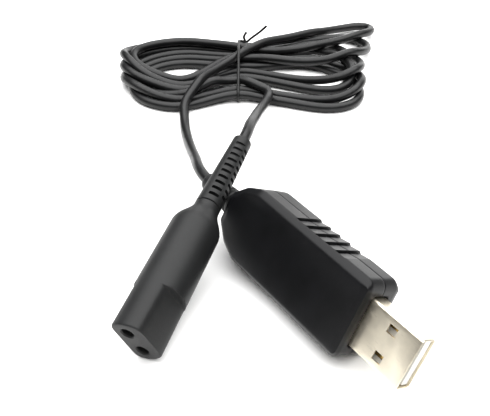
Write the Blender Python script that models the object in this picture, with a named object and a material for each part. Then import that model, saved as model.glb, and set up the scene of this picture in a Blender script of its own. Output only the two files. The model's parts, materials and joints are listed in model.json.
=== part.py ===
"""Charging lead for a shaver or trimmer: a plug with a step-up converter at one end,
a two-pole socket connector at the other, and a thin cord tied in a hank between them.

Sizes are in millimetres and are multiplied by MM where they become Blender metres.
The row's +X is the direction in which the plug is pushed in, +Z is up, and the origin
is the bottom centre of the plug assembly.
"""

import math

import bmesh
import bpy
from mathutils import Matrix, Vector

MM = 0.001
GAP = 0.3

# Converter housing: plan half width runs along its own Y, thickness along its own Z.
HOUSING_WIDTH = 19.4
HOUSING_THICKNESS = 11.0
HOUSING_LENGTH = 46.5
TAPER_START = 38.3
TAPER_KNEE = 43.0
TAPER_KNEE_HALF_WIDTH = 7.7
REAR_HALF_WIDTH = 4.4
EDGE_BEVEL_WIDTH = 1.5
EDGE_BEVEL_HEIGHT = 1.3
WALL = 1.7
LID_WALL = 1.3
SEAM = 0.15
LIP_HEIGHT = 0.9
LIP_CLEARANCE = 0.15
LIP_THICKNESS = 0.65
HOUSING_LEAN = math.radians(61.8)
RIB_COUNT = 5
RIB_PITCH = 3.3
FIRST_RIB = 12.1
RIB_SLOT_WIDTH = 0.6
RIB_SLOT_DEPTH = 0.8

# USB plug.
USB_WIDTH = 12.0
USB_HEIGHT = 4.5
USB_SHEET = 0.3
USB_REACH = 13.8
USB_TUCK = 4.6
USB_CORNER = 0.6
USB_WINDOW_X = 7.0
USB_WINDOW_Y = 3.3
USB_WINDOW_LENGTH = 2.3
USB_WINDOW_WIDTH = 2.0
USB_CLEARANCE = 0.25
TONGUE_WIDTH = 11.0
TONGUE_TOP = 0.05
CONTACT_WIDTHS = 1.0
CONTACT_OFFSETS = (-3.5, -1.0, 1.0, 3.5)

# Converter board.
BOARD_FRONT = -6.0
BOARD_LENGTH = 29.0
BOARD_WIDTH = 13.0
BOARD_TOP = -0.6
BOARD_THICKNESS = 1.0

# Moulded strain relief of the housing, and the point that it bends about.
RELIEF_LENGTH = 14.0
RELIEF_BASE_RADIUS = 3.4
RELIEF_TIP_RADIUS = 2.6
RELIEF_PIVOT = 1.6
BALL_RADIUS = 2.8
ANCHOR_FLANGE_RADIUS = 3.5
REAR_HOLE_RADIUS = 3.1

# Socket connector: its own X runs from the cord to the end face, at X = 0.
BARREL_TIP_RADIUS = 6.4
BARREL_BACK_RADIUS = 6.05
BARREL_LENGTH = 31.0
SHOULDER_END = 38.0
NECK_RADIUS = 3.2
KEY_LENGTH = 11.8
KEY_FLAT = 4.4
BACK_FLAT = 3.2
PIN_SPACING = 6.2
PIN_HOLE_RADIUS = 1.45
NOSE_WALL = 1.8
POCKET_HALF_WIDTH = 4.7
POCKET_HALF_HEIGHT = 2.2
POCKET_END = 30.0
BOOT_PIVOT = 40.3
BOOT_END = 62.0
BOOT_BASE_RADIUS = 3.2
BOOT_TIP_RADIUS = 2.5
FIRST_SLOT = 42.9
SLOT_COUNT = 9
SLOT_PITCH = 2.0
SLOT_WIDTH = 0.8
SLOT_FLOOR = 1.9
SLOT_HALF_LENGTH = 1.2
SLOT_FACINGS = (46.0, -20.0)

CORD_DIAMETER = 3.0

# Hank, in its own frame: U runs along its turns and V across them.
HANK_HEIGHT = 8.6
HANK_HEADING = math.radians(55.0)
HANK_CENTRE = (-94.6, 48.5)
TIE_RADIUS = 0.45
TIE_FRONT = -17.2
TIE_BACK = 21.6

PLUG_SHIFT = (HOUSING_LENGTH + RELIEF_LENGTH - USB_REACH) / 2
CONNECTOR_TIP = (-2.9, -40.6, 6.3)
CONNECTOR_HEADING = math.radians(-56.5)
CONNECTOR_SLOPE = math.radians(12.4)
CONNECTOR_ROLL = math.radians(-67.7)

# Routes of the two free stretches of the cord, from the strain reliefs to the hank.
HOUSING_LEG = (
    (-37.5, 0.0, 10.5), (-40.5, 0.2, 10.5), (-45.2, 1.6, 9.8), (-51.6, 4.7, 7.6), (-59.6, 8.2, 4.9),
    (-67.7, 11.8, 2.8), (-75.6, 15.5, 1.8), (-81.2, 18.6, 1.6), (-86.4, 21.9, 1.6),
)
CONNECTOR_LEG = (
    (-36.5, 10.2, 19.7), (-38.6, 12.9, 20.0), (-42.4, 16.6, 19.4), (-47.0, 21.2, 17.4), (-53.9, 27.5, 13.9),
    (-61.6, 34.6, 9.6), (-68.4, 40.9, 6.1), (-72.8, 45.2, 4.2),
)


def clear_scene():
    """Remove whatever the file opened with."""
    for item in list(bpy.data.objects):
        bpy.data.objects.remove(item, do_unlink=True)


def make_material(name, colour, roughness, metallic=0.0):
    """Return a Principled material of one plain finish."""
    material = bpy.data.materials.new(name)
    material.use_nodes = True
    shader = material.node_tree.nodes["Principled BSDF"]
    shader.inputs["Base Color"].default_value = (*colour, 1.0)
    shader.inputs["Roughness"].default_value = roughness
    shader.inputs["Metallic"].default_value = metallic
    return material


def add_empty(name, matrix):
    """Add a guide empty whose frame the parts of one assembly share."""
    empty = bpy.data.objects.new(name, None)
    bpy.context.scene.collection.objects.link(empty)
    empty.matrix_world = matrix
    return empty


def add_object(name, mesh_builder, material, parent, smooth=True):
    """Turn a bmesh in millimetres into a named object under a parent frame."""
    bmesh.ops.scale(mesh_builder, vec=Vector((MM, MM, MM)), verts=mesh_builder.verts)
    bmesh.ops.recalc_face_normals(mesh_builder, faces=mesh_builder.faces)
    mesh = bpy.data.meshes.new(name)
    mesh_builder.to_mesh(mesh)
    mesh_builder.free()
    if smooth:
        mesh.shade_smooth()
        mesh.set_sharp_from_angle(angle=math.radians(30))
    if material is not None:
        mesh.materials.append(material)
    thing = bpy.data.objects.new(name, mesh)
    bpy.context.scene.collection.objects.link(thing)
    thing.parent = parent
    return thing


def add_cutter(name, mesh_builder, parent):
    """Add a hidden solid that Boolean modifiers subtract."""
    cutter = add_object(name, mesh_builder, None, parent, smooth=False)
    cutter.hide_render = True
    cutter.display_type = "WIRE"
    return cutter


def cut(thing, cutter):
    """Subtract a cutter from an object."""
    modifier = thing.modifiers.new("cut_" + cutter.name, "BOOLEAN")
    modifier.operation = "DIFFERENCE"
    modifier.object = cutter


def loft(rings, closed=False):
    """Skin rings of equal length; cap both ends unless the rings close on themselves."""
    builder = bmesh.new()
    rows = [[builder.verts.new(point) for point in ring] for ring in rings]
    pairs = list(zip(rows, rows[1:]))
    if closed:
        pairs.append((rows[-1], rows[0]))
    for near, far in pairs:
        count = len(near)
        for i in range(count):
            j = (i + 1) % count
            builder.faces.new((near[i], near[j], far[j], far[i]))
    if not closed:
        builder.faces.new(list(reversed(rows[0])))
        builder.faces.new(rows[-1])
    return builder


def lathe(profile, segments=32, closed=False):
    """Turn (x, radius) stations about the X axis."""
    rings = []
    for x, radius in profile:
        rings.append([
            (x, radius * math.cos(turn), radius * math.sin(turn))
            for turn in (math.tau * i / segments for i in range(segments))
        ])
    return loft(rings, closed)


def add_box(builder, low, high):
    """Add one rectangular block between two corners."""
    size = [h - l for l, h in zip(low, high)]
    centre = [(h + l) / 2 for l, h in zip(low, high)]
    matrix = Matrix.Translation(centre) @ Matrix.Diagonal((*size, 1.0))
    return bmesh.ops.create_cube(builder, size=1.0, matrix=matrix)["verts"]


def block(low, high, bevel=0.0):
    """Return a block, with its edges chamfered when a bevel is given."""
    builder = bmesh.new()
    add_box(builder, low, high)
    if bevel:
        bmesh.ops.bevel(builder, geom=list(builder.edges), offset=bevel, segments=1, affect="EDGES")
    return builder


def prism(outline, low_y, high_y):
    """Extrude an (x, z) outline along Y."""
    return loft([[(x, y, z) for x, z in outline] for y in (low_y, high_y)])


def rounded_rectangle(half_width, half_height, radius, steps=3):
    """Return (a, b) points of a rectangle with round corners."""
    points = []
    for quarter in range(4):
        start = quarter * math.pi / 2
        sign_a = 1 if quarter in (0, 3) else -1
        sign_b = 1 if quarter in (0, 1) else -1
        for step in range(steps + 1):
            turn = start + step / steps * math.pi / 2
            points.append((
                sign_a * (half_width - radius) + radius * math.cos(turn),
                sign_b * (half_height - radius) + radius * math.sin(turn),
            ))
    return points


def offset_corners(corners, insets):
    """Move each edge of a counter-clockwise polygon inwards by its own distance."""
    count = len(corners)
    lines = []
    for i in range(count):
        start, end = Vector(corners[i]), Vector(corners[(i + 1) % count])
        along = (end - start).normalized()
        inward = Vector((-along.y, along.x))
        lines.append((start + inward * insets[i], along))
    moved = []
    for i in range(count):
        (point_a, along_a), (point_b, along_b) = lines[i - 1], lines[i]
        reach = (point_b - point_a).cross(along_b) / along_a.cross(along_b)
        moved.append(point_a + along_a * reach)
    return moved


def fillet(corners, radii, steps=4):
    """Round each corner of a convex polygon with an arc of its own radius."""
    points = []
    count = len(corners)
    for i, radius in enumerate(radii):
        corner = corners[i]
        back = (corners[i - 1] - corner).normalized()
        ahead = (corners[(i + 1) % count] - corner).normalized()
        half = back.angle(ahead) / 2
        centre = corner + (back + ahead).normalized() * (radius / math.sin(half))
        start = corner + back * (radius / math.tan(half)) - centre
        end = corner + ahead * (radius / math.tan(half)) - centre
        sweep = start.angle_signed(end)
        for step in range(steps + 1):
            turn = Matrix.Rotation(-sweep * step / steps, 2)
            points.append(centre + turn @ start)
    return points


def housing_ring(height, side_inset, front_inset, rear_inset):
    """Return the housing's plan outline at one height."""
    half = HOUSING_WIDTH / 2
    right = [
        (0.0, -half), (0.0, half), (-TAPER_START, half), (-TAPER_KNEE, TAPER_KNEE_HALF_WIDTH),
        (-HOUSING_LENGTH, REAR_HALF_WIDTH), (-HOUSING_LENGTH, -REAR_HALF_WIDTH),
        (-TAPER_KNEE, -TAPER_KNEE_HALF_WIDTH), (-TAPER_START, -half),
    ]
    insets = [front_inset] + [side_inset] * 3 + [rear_inset] + [side_inset] * 3
    corners = offset_corners(right, insets)
    shrink = min(side_inset, 1.6)
    radii = [2.4 - shrink, 2.4 - shrink, 6.0, 3.5, 0.9, 0.9, 3.5, 6.0]
    return [(x, y, height) for x, y in fillet(corners, radii)]


def usb_bore():
    """Return the cutter for the housing's mouth, round the USB shell."""
    half_width = USB_WIDTH / 2 + USB_CLEARANCE
    half_height = USB_HEIGHT / 2 + USB_CLEARANCE
    outline = rounded_rectangle(half_width, half_height, USB_CORNER + USB_CLEARANCE)
    return loft([[(x, y, z) for y, z in outline] for x in (-4.0, 1.0)])


def rib_slots():
    """Return five wedge cutters that leave saw-tooth finger ribs on one long side."""
    builder = bmesh.new()
    edge = HOUSING_WIDTH / 2
    low, high = -HOUSING_THICKNESS / 2 - 1, HOUSING_THICKNESS / 2 - EDGE_BEVEL_HEIGHT
    for i in range(RIB_COUNT):
        x = -FIRST_RIB - i * RIB_PITCH
        outline = (
            (x + RIB_SLOT_WIDTH / 2, edge - RIB_SLOT_DEPTH),
            (x + RIB_PITCH - RIB_SLOT_WIDTH, edge + 0.2),
            (x - RIB_SLOT_WIDTH / 2, edge + 1),
            (x - RIB_SLOT_WIDTH / 2, edge - RIB_SLOT_DEPTH),
        )
        rows = [[builder.verts.new((a, b, z)) for a, b in outline] for z in (low, high)]
        for k in range(4):
            builder.faces.new((rows[0][k], rows[0][k - 1], rows[1][k - 1], rows[1][k]))
        builder.faces.new(rows[0])
        builder.faces.new(list(reversed(rows[1])))
    return builder


def build_housing(frame, black):
    """Two shells that meet at mid-thickness, the lower one with a locating lip."""
    top = HOUSING_THICKNESS / 2
    seam = SEAM / 2
    roof = top - LID_WALL
    upper = loft([
        housing_ring(top, EDGE_BEVEL_WIDTH, 0.3, 0.6),
        housing_ring(top - EDGE_BEVEL_HEIGHT, 0.0, 0.0, 0.0),
        housing_ring(seam, 0.0, 0.0, 0.0),
        housing_ring(seam, WALL, WALL, WALL),
        housing_ring(roof, WALL, WALL, WALL),
    ])
    lip_outer = WALL + LIP_CLEARANCE
    lip_inner = lip_outer + LIP_THICKNESS
    lower = loft([
        housing_ring(-top, EDGE_BEVEL_WIDTH, 0.3, 0.6),
        housing_ring(EDGE_BEVEL_HEIGHT - top, 0.0, 0.0, 0.0),
        housing_ring(-seam, 0.0, 0.0, 0.0),
        housing_ring(-seam, lip_outer, lip_outer, lip_outer),
        housing_ring(LIP_HEIGHT, lip_outer, lip_outer, lip_outer),
        housing_ring(LIP_HEIGHT, lip_inner, lip_inner, lip_inner),
        housing_ring(-roof, lip_inner, lip_inner, lip_inner),
    ])
    mouth = add_cutter("cutter_mouth", usb_bore(), frame)
    rear_hole = lathe([(-HOUSING_LENGTH - 1, REAR_HOLE_RADIUS), (-HOUSING_LENGTH + 4, REAR_HOLE_RADIUS)])
    rear = add_cutter("cutter_rear_hole", rear_hole, frame)
    ribs = add_cutter("cutter_ribs", rib_slots(), frame)
    for name, builder in (("upper_shell", upper), ("lower_shell", lower)):
        shell = add_object(name, builder, black, frame)
        for cutter in (mouth, rear, ribs):
            cut(shell, cutter)


def build_usb_plug(frame, steel, insulator, gold):
    """Sheet-metal shell with latch windows, an insulating tongue and four contacts."""
    outer = rounded_rectangle(USB_WIDTH / 2, USB_HEIGHT / 2, USB_CORNER)
    inner = rounded_rectangle(USB_WIDTH / 2 - USB_SHEET, USB_HEIGHT / 2 - USB_SHEET, USB_CORNER - USB_SHEET)
    rings = []
    for outline, x in ((outer, -USB_TUCK), (outer, USB_REACH), (inner, USB_REACH), (inner, -USB_TUCK)):
        rings.append([(x, y, z) for y, z in outline])
    shell = add_object("usb_shell", loft(rings, closed=True), steel, frame)
    windows = bmesh.new()
    for side in (-1, 1):
        y = side * USB_WINDOW_Y
        add_box(
            windows,
            (USB_WINDOW_X - USB_WINDOW_LENGTH / 2, y - USB_WINDOW_WIDTH / 2, -USB_HEIGHT),
            (USB_WINDOW_X + USB_WINDOW_LENGTH / 2, y + USB_WINDOW_WIDTH / 2, USB_HEIGHT),
        )
    cut(shell, add_cutter("cutter_windows", windows, frame))

    floor = -(USB_HEIGHT / 2 - USB_SHEET - 0.15)
    tongue = block(
        (-USB_TUCK, -TONGUE_WIDTH / 2, floor), (USB_REACH - 0.5, TONGUE_WIDTH / 2, TONGUE_TOP), 0.15,
    )
    add_object("usb_tongue", tongue, insulator, frame, smooth=False)
    low, thick = TONGUE_TOP + 0.1, 0.25
    pad = BOARD_TOP + 0.1
    blade = (
        (USB_REACH - 1.6, low), (USB_REACH - 1.9, low + thick), (-5.0, low + thick),
        (-6.4, pad + thick), (-8.2, pad + thick), (-8.2, pad), (-6.5, pad), (-5.1, low),
    )
    for number, y in enumerate(CONTACT_OFFSETS, start=1):
        half = CONTACT_WIDTHS / 2
        contact = prism(blade, y - half, y + half)
        add_object(f"usb_contact_{number}", contact, gold, frame, smooth=False)


def build_board(frame, colours):
    """The step-up converter's board and its larger components."""
    rear = BOARD_FRONT - BOARD_LENGTH
    board = block(
        (rear, -BOARD_WIDTH / 2, BOARD_TOP - BOARD_THICKNESS), (BOARD_FRONT, BOARD_WIDTH / 2, BOARD_TOP),
    )
    add_object("converter_board", board, colours["board"], frame, smooth=False)
    seat = BOARD_TOP + 0.1
    components = (
        ("boost_chip", "chip", (-14.5, 0.0), (4.9, 3.9, 1.5)),
        ("input_capacitor", "ceramic", (-11.4, 4.4), (2.0, 3.2, 1.6)),
        ("output_capacitor", "ceramic", (-29.6, 4.0), (2.5, 3.2, 1.8)),
        ("rectifier_diode", "chip", (-29.4, -3.2), (4.3, 2.6, 2.1)),
    )
    for name, colour, (x, y), (length, width, height) in components:
        body = block(
            (x - length / 2, y - width / 2, seat), (x + length / 2, y + width / 2, seat + height), 0.15,
        )
        add_object(name, body, colours[colour], frame, smooth=False)
    drum = [(seat, 3.0), (seat + 0.8, 3.0), (seat + 0.8, 2.3), (seat + 2.8, 2.3), (seat + 2.8, 3.0), (seat + 3.4, 3.0)]
    coil = lathe(drum, 20)
    bmesh.ops.rotate(coil, matrix=Matrix.Rotation(-math.pi / 2, 3, "Y"), verts=coil.verts)
    bmesh.ops.translate(coil, vec=Vector((-21.6, 0.0, 0.0)), verts=coil.verts)
    add_object("inductor", coil, colours["ferrite"], frame)


def ball_end(centre, radius, start, towards, steps=5):
    """Return lathe stations of a dome from an angle off the axis to its pole."""
    stations = []
    for step in range(steps + 1):
        turn = start * (1 - step / steps)
        stations.append((centre + towards * radius * math.cos(turn), max(radius * math.sin(turn), 0.15)))
    return stations


def cup_stations(centre, radius, rim_radius, towards, bore=0.15, steps=5):
    """Return lathe stations of a hollow cup, from its pole out to its rim."""
    first = math.asin(bore / radius)
    last = math.asin(rim_radius / radius)
    stations = []
    for step in range(steps + 1):
        turn = first + (last - first) * step / steps
        stations.append((centre + towards * radius * math.cos(turn), radius * math.sin(turn)))
    return stations


def build_housing_relief(frame, black):
    """Strain relief in two nodes: the anchor held in the housing and the sleeve that bends."""
    pivot = -HOUSING_LENGTH - RELIEF_PIVOT
    inside = -HOUSING_LENGTH + WALL + LIP_THICKNESS + 1.2
    stem = REAR_HOLE_RADIUS - 0.2
    anchor = [
        (inside + 1.6, 0.15), (inside + 1.6, 2.4), (inside + 1.2, ANCHOR_FLANGE_RADIUS), (inside, ANCHOR_FLANGE_RADIUS),
        (inside, stem), (-HOUSING_LENGTH - 0.3, stem),
    ] + ball_end(pivot, BALL_RADIUS, math.radians(85), -1)
    add_object("relief_anchor", lathe(anchor, 28), black, frame)

    tip = -HOUSING_LENGTH - RELIEF_LENGTH
    cup = BALL_RADIUS + GAP
    sleeve = cup_stations(pivot, cup, cup * 0.93, -1)
    rim_x = sleeve[-1][0]
    sleeve += [
        (rim_x - 0.1, RELIEF_BASE_RADIUS), (rim_x - 1.3, RELIEF_BASE_RADIUS),
        (tip + 0.5, RELIEF_TIP_RADIUS), (tip, RELIEF_TIP_RADIUS - 0.4),
    ]
    add_object("housing_strain_relief", lathe(sleeve, 28), black, frame)


def barrel_profile():
    """Return the connector barrel's outer stations, from its end face to its ball end."""
    stations = [(0.0, BARREL_TIP_RADIUS - 0.35), (-0.35, BARREL_TIP_RADIUS)]
    stations.append((-BARREL_LENGTH + 2.0, BARREL_BACK_RADIUS + 0.05))
    steps = 10
    for step in range(steps + 1):
        part = step / steps
        drop = part * part * (3 - 2 * part)
        stations.append((
            -BARREL_LENGTH - part * (SHOULDER_END - BARREL_LENGTH),
            BARREL_BACK_RADIUS - drop * (BARREL_BACK_RADIUS - NECK_RADIUS),
        ))
    return stations + ball_end(-BOOT_PIVOT, BALL_RADIUS, math.radians(85), -1)


def key_flats():
    """Return the cutters for the two flats beside the pin holes."""
    builder = bmesh.new()
    wide = BARREL_TIP_RADIUS + 2
    add_box(builder, (-KEY_LENGTH, -wide, KEY_FLAT), (1, wide, wide))
    add_box(builder, (-KEY_LENGTH, -wide, -wide), (1, wide, -BACK_FLAT))
    return builder


def joined(builders):
    """Merge several bmeshes into one, as separate bodies."""
    whole = bmesh.new()
    for builder in builders:
        mesh = bpy.data.meshes.new("scratch")
        builder.to_mesh(mesh)
        builder.free()
        whole.from_mesh(mesh)
        bpy.data.meshes.remove(mesh)
    return whole


def pin_rods(low_x, high_x, radius, segments=20):
    """Return two rods on the pins' axes."""
    rods = []
    for side in (-1, 1):
        rod = lathe([(low_x, radius), (high_x, radius)], segments)
        bmesh.ops.translate(rod, vec=Vector((0, side * PIN_SPACING / 2, 0)), verts=rod.verts)
        rods.append(rod)
    return rods


def build_connector(frame, colours):
    """Barrel with a keyed nose, the contact carrier in its pocket, and two socket tubes."""
    barrel = add_object("connector_barrel", lathe(barrel_profile(), 40), colours["barrel"], frame)
    pocket = block(
        (-POCKET_END, -POCKET_HALF_WIDTH, -POCKET_HALF_HEIGHT), (-NOSE_WALL, POCKET_HALF_WIDTH, POCKET_HALF_HEIGHT),
    )
    holes = pin_rods(-NOSE_WALL - 1, 1.0, PIN_HOLE_RADIUS)
    cut(barrel, add_cutter("cutter_flats", key_flats(), frame))
    cut(barrel, add_cutter("cutter_pocket", pocket, frame))
    cut(barrel, add_cutter("cutter_pin_holes", joined(holes), frame))

    clearance = 0.25
    front = -NOSE_WALL - clearance
    back = front - 15.0
    carrier = add_object("contact_carrier", block(
        (back, clearance - POCKET_HALF_WIDTH, clearance - POCKET_HALF_HEIGHT),
        (front, POCKET_HALF_WIDTH - clearance, POCKET_HALF_HEIGHT - clearance), 0.3,
    ), colours["carrier"], frame, smooth=False)
    bores = joined(pin_rods(back - 1, front + 1, 1.35))
    cut(carrier, add_cutter("cutter_carrier_bores", bores, frame))

    for number, side in enumerate((-1, 1), start=1):
        y = side * PIN_SPACING / 2
        tube = lathe([
            (back - 1.0, 0.95), (back - 1.0, 1.15), (front - 0.3, 1.15), (front - 0.3, 0.8), (back + 2.0, 0.8),
            (back + 2.0, 0.1), (back - 1.0, 0.1),
        ], 18, closed=True)
        bmesh.ops.translate(tube, vec=Vector((0, y, 0)), verts=tube.verts)
        add_object(f"socket_contact_{number}", tube, colours["brass"], frame)
        wire = ((back - 1.3, y), (back - 4.0, y), (back - 7.5, y * 0.62), (back - 12.2, y * 0.3))
        add_tube(
            f"connector_wire_{number}", [(x, lateral, 0.0) for x, lateral in wire],
            0.5, colours["wire"][side], frame, spacing=2.0,
        )


def build_boot(frame, black):
    """Tapered boot over the cord, with staggered slots that let it bend."""
    cup = BALL_RADIUS + GAP
    stations = cup_stations(-BOOT_PIVOT, cup, cup * 0.93, -1)
    rim_x = stations[-1][0]
    stations += [
        (rim_x - 0.05, BOOT_BASE_RADIUS), (-BOOT_END + 1.6, BOOT_TIP_RADIUS),
        (-BOOT_END + 0.4, BOOT_TIP_RADIUS), (-BOOT_END, BOOT_TIP_RADIUS - 0.35),
    ]
    boot = add_object("connector_boot", lathe(stations, 28), black, frame)
    rows = []
    for row, facing in enumerate(SLOT_FACINGS):
        slots = bmesh.new()
        for i in range(SLOT_COUNT - row):
            middle = -FIRST_SLOT - (i + row / 2) * SLOT_PITCH
            for side in (-1, 1):
                near, far = sorted((side * SLOT_FLOOR, side * 5.0))
                low = (middle - SLOT_WIDTH / 2, -SLOT_HALF_LENGTH, near)
                add_box(slots, low, (middle + SLOT_WIDTH / 2, SLOT_HALF_LENGTH, far))
        bmesh.ops.rotate(slots, matrix=Matrix.Rotation(math.radians(facing), 3, "X"), verts=slots.verts)
        rows.append(slots)
    cut(boot, add_cutter("cutter_boot_slots", joined(rows), frame))


def smooth_route(points, spacing):
    """Return points about a spacing apart on a Catmull-Rom curve through a route."""
    knots = [Vector(point) for point in points]
    padded = [knots[0] * 2 - knots[1]] + knots + [knots[-1] * 2 - knots[-2]]
    dense = []
    steps = 24
    for a, b, c, d in zip(padded, padded[1:], padded[2:], padded[3:]):
        for step in range(steps):
            t = step / steps
            dense.append(0.5 * (
                2 * b + (c - a) * t + (2 * a - 5 * b + 4 * c - d) * t ** 2 + (3 * b - a - 3 * c + d) * t ** 3
            ))
    dense.append(knots[-1])
    travel = [0.0]
    for start, end in zip(dense, dense[1:]):
        travel.append(travel[-1] + (end - start).length)
    count = max(2, round(travel[-1] / spacing))
    route = []
    index = 0
    for i in range(count + 1):
        wanted = travel[-1] * i / count
        while index < len(travel) - 2 and travel[index + 1] < wanted:
            index += 1
        part = (wanted - travel[index]) / (travel[index + 1] - travel[index])
        route.append(dense[index].lerp(dense[index + 1], min(part, 1.0)))
    return route


def add_tube(name, points, radius, material, parent=None, spacing=6.0):
    """Add a round tube along a smooth curve through a route."""
    curve = bpy.data.curves.new(name, "CURVE")
    curve.dimensions = "3D"
    curve.bevel_depth = radius * MM
    curve.bevel_resolution = 2
    curve.use_fill_caps = True
    route = smooth_route(points, spacing)
    spline = curve.splines.new("POLY")
    spline.points.add(len(route) - 1)
    for knot, point in zip(spline.points, route):
        knot.co = (*(point * MM), 1.0)
    curve.materials.append(material)
    tube = bpy.data.objects.new(name, curve)
    bpy.context.scene.collection.objects.link(tube)
    tube.parent = parent
    return tube


def arc(centre, radius_u, radius_v, first, last, steps):
    """Return (u, v) points on part of an ellipse, angles in degrees."""
    points = []
    for step in range(steps + 1):
        turn = math.radians(first + (last - first) * step / steps)
        points.append((centre[0] + radius_u * math.cos(turn), centre[1] + radius_v * math.sin(turn)))
    return points


def build_hank(frame, black, dark_wire):
    """One solid of the hank's outer shape, waisted at its tie, and the twist tie."""
    outline = arc((-19.0, 1.5), 24.0, 25.5, 110, 250, 12)
    outline += [(-10.0, -20.5), (0.0, TIE_FRONT), (9.0, -18.5)]
    outline += arc((26.0, 0.0), 20.0, 24.0, -110, -10, 8)
    outline += [(48.0, 8.0), (50.5, 18.0), (53.0, 28.0), (54.0, 35.0), (51.5, 41.0), (44.0, 42.5)]
    outline += [(30.0, 38.0), (18.0, 31.0), (9.0, 25.0), (0.0, TIE_BACK), (-10.0, 24.0)]
    rings = []
    for height, shrink in ((0.0, 0.985), (0.8, 1.0), (HANK_HEIGHT - 1.2, 1.0), (HANK_HEIGHT, 0.975)):
        rings.append([(u * shrink, v * shrink, height) for u, v in outline])
    hank = add_object("cord_hank", loft(rings), black, frame)
    channel = bmesh.new()
    half = TIE_RADIUS + GAP
    add_box(channel, (-half, -30, -1), (half, 30, 2 * TIE_RADIUS + 4 * GAP))
    cut(hank, add_cutter("cutter_tie_channel", channel, frame))

    low = TIE_RADIUS + 0.05
    high = HANK_HEIGHT + TIE_RADIUS + GAP
    front = TIE_FRONT - TIE_RADIUS - GAP
    back = TIE_BACK + TIE_RADIUS + GAP
    tie = (
        (10.2, back + 4.9, 7.5), (6.4, back + 3.1, 5.2), (2.8, back + 1.5, 4.1), (0.7, back + 0.5, 3.6),
        (0.0, back, 3.0), (0.0, back - 0.1, 1.8), (0.0, back - 1.4, low), (0.0, back - 5.0, low),
        (0.0, front + 5.0, low), (0.0, front + 1.4, low), (0.0, front + 0.1, 1.8), (0.0, front, high - 2.65),
        (0.0, front + 1.0, high - 0.4), (0.0, front + 3.0, high), (0.0, back - 4.0, high),
        (0.2, back - 1.0, high - 0.3), (0.7, back + 1.3, high - 1.2), (2.4, back + 2.6, high - 0.9),
    )
    add_tube("twist_tie", tie, TIE_RADIUS, dark_wire, frame, spacing=1.6)


def main():
    """Build every sub-part in its assembly's frame."""
    clear_scene()
    black = make_material("black_plastic", (0.018, 0.018, 0.019), 0.42)
    barrel = make_material("barrel_vinyl", (0.035, 0.036, 0.037), 0.55)
    cord = make_material("cord_vinyl", (0.022, 0.022, 0.023), 0.38)
    steel = make_material("nickel_plate", (0.70, 0.66, 0.56), 0.28, 1.0)
    gold = make_material("gold_plate", (0.83, 0.62, 0.28), 0.25, 1.0)
    brass = make_material("brass_tube", (0.74, 0.56, 0.27), 0.35, 1.0)
    insulator = make_material("white_insulator", (0.80, 0.79, 0.75), 0.5)
    carrier = make_material("carrier_plastic", (0.05, 0.05, 0.05), 0.6)
    red = make_material("red_insulation", (0.55, 0.03, 0.02), 0.45)
    dark = make_material("black_insulation", (0.02, 0.02, 0.02), 0.45)
    tie = make_material("tie_plastic", (0.025, 0.025, 0.025), 0.5)
    board = {
        "board": make_material("board_green", (0.02, 0.16, 0.07), 0.4),
        "chip": make_material("chip_resin", (0.03, 0.03, 0.03), 0.5),
        "ceramic": make_material("capacitor_ceramic", (0.50, 0.38, 0.24), 0.45),
        "ferrite": make_material("ferrite_drum", (0.09, 0.09, 0.09), 0.55),
    }

    half_y, half_z = HOUSING_WIDTH / 2, HOUSING_THICKNESS / 2
    bevel_corner = half_y * math.sin(HOUSING_LEAN) + (half_z - EDGE_BEVEL_HEIGHT) * math.cos(HOUSING_LEAN)
    plug_matrix = Matrix.Translation(Vector((PLUG_SHIFT, 0.0, bevel_corner)) * MM)
    plug = add_empty("plug_frame", plug_matrix @ Matrix.Rotation(HOUSING_LEAN, 4, "X"))
    build_housing(plug, black)
    build_usb_plug(plug, steel, insulator, gold)
    build_board(plug, board)
    build_housing_relief(plug, black)
    for name, side, material in (("supply_wire", 1, red), ("return_wire", -1, dark)):
        lead = ((-41.0, 1.1 * side, 0.0), (-39.6, 1.4 * side, 0.1), (-37.0, 2.4 * side, 0.3), (-33.6, 3.0 * side, 0.2))
        add_tube(name, lead, 0.5, material, plug, spacing=1.6)

    turn = Matrix.Rotation(CONNECTOR_HEADING, 4, "Z") @ Matrix.Rotation(CONNECTOR_SLOPE, 4, "Y")
    turn = turn @ Matrix.Rotation(CONNECTOR_ROLL, 4, "X")
    connector = add_empty("connector_frame", Matrix.Translation(Vector(CONNECTOR_TIP) * MM) @ turn)
    finishes = {"barrel": barrel, "carrier": carrier, "brass": brass, "wire": {1: red, -1: dark}}
    build_connector(connector, finishes)
    build_boot(connector, barrel)

    place = Matrix.Translation(Vector((*HANK_CENTRE, 0.0)) * MM)
    hank = add_empty("hank_frame", place @ Matrix.Rotation(HANK_HEADING, 4, "Z"))
    build_hank(hank, cord, tie)
    add_tube("cord_housing_leg", HOUSING_LEG, CORD_DIAMETER / 2, cord)
    add_tube("cord_connector_leg", CONNECTOR_LEG, CORD_DIAMETER / 2, cord)


main()
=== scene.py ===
"""Looks of a charging lead for a shaver or trimmer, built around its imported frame.

The lead is a USB plug on a slab-shaped step-up converter, a hank of thin cord held by a
twist tie, and a round socket connector with a slotted boot. Sizes are in millimetres and
become metres through MM. Each sub-assembly is a class that builds and dresses its pieces.
"""

import json
import logging
import math
from dataclasses import dataclass
from enum import Enum
from typing import Any, Iterable, Optional, Sequence, Union

import bmesh
import bpy
import numpy as np
from mathutils import Matrix, Vector

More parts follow.
